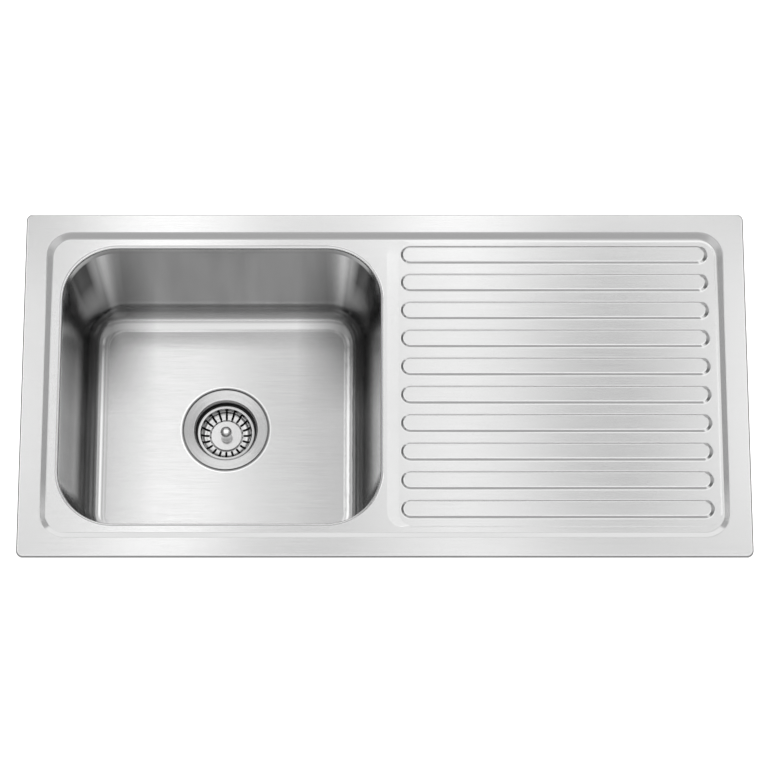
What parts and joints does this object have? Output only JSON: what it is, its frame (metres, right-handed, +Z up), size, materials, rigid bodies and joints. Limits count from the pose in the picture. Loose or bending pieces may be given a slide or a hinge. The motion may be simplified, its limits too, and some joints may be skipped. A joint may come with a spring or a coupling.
{
  "type": "kitchen sink with drainboard",
  "caption": "Inset stainless-steel sink with a deep bowl, ribbed drainboard, lift-out basket strainer with a sliding stopper and swing-out worktop clips.",
  "frame": {"origin": "centre of the rim's outline, on the worktop's surface (the underside of the rim's lip and seal)", "axes": "+Z up out of the worktop, +X from the bowl towards the drainboard, +Y from the user to the wall"},
  "size_m": [1, 0.5, 0.2752],
  "materials": {
    "satin_steel": "fine brushed along the length",
    "strainer_steel": "satin, turned",
    "basket_steel": "bright pressed",
    "polished_steel": "polished",
    "spring_steel": "bright wire",
    "channel_steel": "galvanised sheet",
    "zinc_steel": "zinc plated",
    "nut_metal": "cast",
    "black_rubber": "matt",
    "foam": "closed-cell foam tape",
    "damping_pad": "matt bitumen rubber",
    "fibre": "pressed fibre",
    "nylon": "natural nylon"
  },
  "bodies": {
    "sink": {"deck": "satin_steel", "bowl": "satin_steel", "rim_seal": "foam", "floor_pad": "damping_pad", "wall_pads": "damping_pad", "stiffener_left": "channel_steel", "stiffener_right": "channel_steel", "clip_straps": "channel_steel", "clip_bolts": "zinc_steel", "strainer_body": "strainer_steel", "flange_gasket": "black_rubber", "rubber_washer": "black_rubber", "fibre_washer": "fibre", "locknut": "nut_metal", "crosspiece": "strainer_steel"},
    "basket": {"basket": "basket_steel", "guide_bush": "nylon"},
    "stopper": {"knob": "polished_steel", "stem": "polished_steel", "stopper_plate": "strainer_steel", "stopper_seal": "black_rubber", "stopper_nut": "zinc_steel", "snap_ring": "spring_steel"},
    "nut_front_left": {"nut_front_left": "zinc_steel"},
    "claw_front_left": {"claw_front_left": "zinc_steel"},
    "nut_front_middle": {"nut_front_middle": "zinc_steel"},
    "claw_front_middle": {"claw_front_middle": "zinc_steel"},
    "nut_front_right": {"nut_front_right": "zinc_steel"},
    "claw_front_right": {"claw_front_right": "zinc_steel"},
    "nut_back_left": {"nut_back_left": "zinc_steel"},
    "claw_back_left": {"claw_back_left": "zinc_steel"},
    "nut_back_middle": {"nut_back_middle": "zinc_steel"},
    "claw_back_middle": {"claw_back_middle": "zinc_steel"},
    "nut_back_right": {"nut_back_right": "zinc_steel"},
    "claw_back_right": {"claw_back_right": "zinc_steel"},
    "nut_left": {"nut_left": "zinc_steel"},
    "claw_left": {"claw_left": "zinc_steel"},
    "nut_right": {"nut_right": "zinc_steel"},
    "claw_right": {"claw_right": "zinc_steel"}
  },
  "joints": [
    {"name": "basket_lift", "type": "slide", "parent": "sink", "child": "basket", "axis": [0, 0, 1], "range_m": [0, 0.27]},
    {"name": "stopper_lift", "type": "slide", "parent": "basket", "child": "stopper", "axis": [0, 0, 1], "range_m": [0, 0.009]},
    {"name": "clamp_front_left", "type": "slide", "parent": "sink", "child": "nut_front_left", "axis": [0, 0, 1], "range_m": [0, 0.0145]},
    {"name": "swing_front_left", "type": "hinge", "parent": "nut_front_left", "child": "claw_front_left", "pos_m": [-0.35, -0.2278, -0.0495], "axis": [0, 0, 1], "range_deg": [0, 90]},
    {"name": "clamp_front_middle", "type": "slide", "parent": "sink", "child": "nut_front_middle", "axis": [0, 0, 1], "range_m": [0, 0.0145]},
    {"name": "swing_front_middle", "type": "hinge", "parent": "nut_front_middle", "child": "claw_front_middle", "pos_m": [0, -0.2278, -0.0495], "axis": [0, 0, 1], "range_deg": [0, 90]},
    {"name": "clamp_front_right", "type": "slide", "parent": "sink", "child": "nut_front_right", "axis": [0, 0, 1], "range_m": [0, 0.0145]},
    {"name": "swing_front_right", "type": "hinge", "parent": "nut_front_right", "child": "claw_front_right", "pos_m": [0.35, -0.2278, -0.0495], "axis": [0, 0, 1], "range_deg": [0, 90]},
    {"name": "clamp_back_left", "type": "slide", "parent": "sink", "child": "nut_back_left", "axis": [0, 0, 1], "range_m": [0, 0.0145]},
    {"name": "swing_back_left", "type": "hinge", "parent": "nut_back_left", "child": "claw_back_left", "pos_m": [-0.35, 0.2278, -0.0495], "axis": [0, 0, 1], "range_deg": [0, 90]},
    {"name": "clamp_back_middle", "type": "slide", "parent": "sink", "child": "nut_back_middle", "axis": [0, 0, 1], "range_m": [0, 0.0145]},
    {"name": "swing_back_middle", "type": "hinge", "parent": "nut_back_middle", "child": "claw_back_middle", "pos_m": [0, 0.2278, -0.0495], "axis": [0, 0, 1], "range_deg": [0, 90]},
    {"name": "clamp_back_right", "type": "slide", "parent": "sink", "child": "nut_back_right", "axis": [0, 0, 1], "range_m": [0, 0.0145]},
    {"name": "swing_back_right", "type": "hinge", "parent": "nut_back_right", "child": "claw_back_right", "pos_m": [0.35, 0.2278, -0.0495], "axis": [0, 0, 1], "range_deg": [0, 90]},
    {"name": "clamp_left", "type": "slide", "parent": "sink", "child": "nut_left", "axis": [0, 0, 1], "range_m": [0, 0.0145]},
    {"name": "swing_left", "type": "hinge", "parent": "nut_left", "child": "claw_left", "pos_m": [-0.48, 0, -0.0495], "axis": [0, 0, 1], "range_deg": [0, 90]},
    {"name": "clamp_right", "type": "slide", "parent": "sink", "child": "nut_right", "axis": [0, 0, 1], "range_m": [0, 0.0145]},
    {"name": "swing_right", "type": "hinge", "parent": "nut_right", "child": "claw_right", "pos_m": [0.48, 0, -0.0495], "axis": [0, 0, 1], "range_deg": [0, 90]}
  ]
}
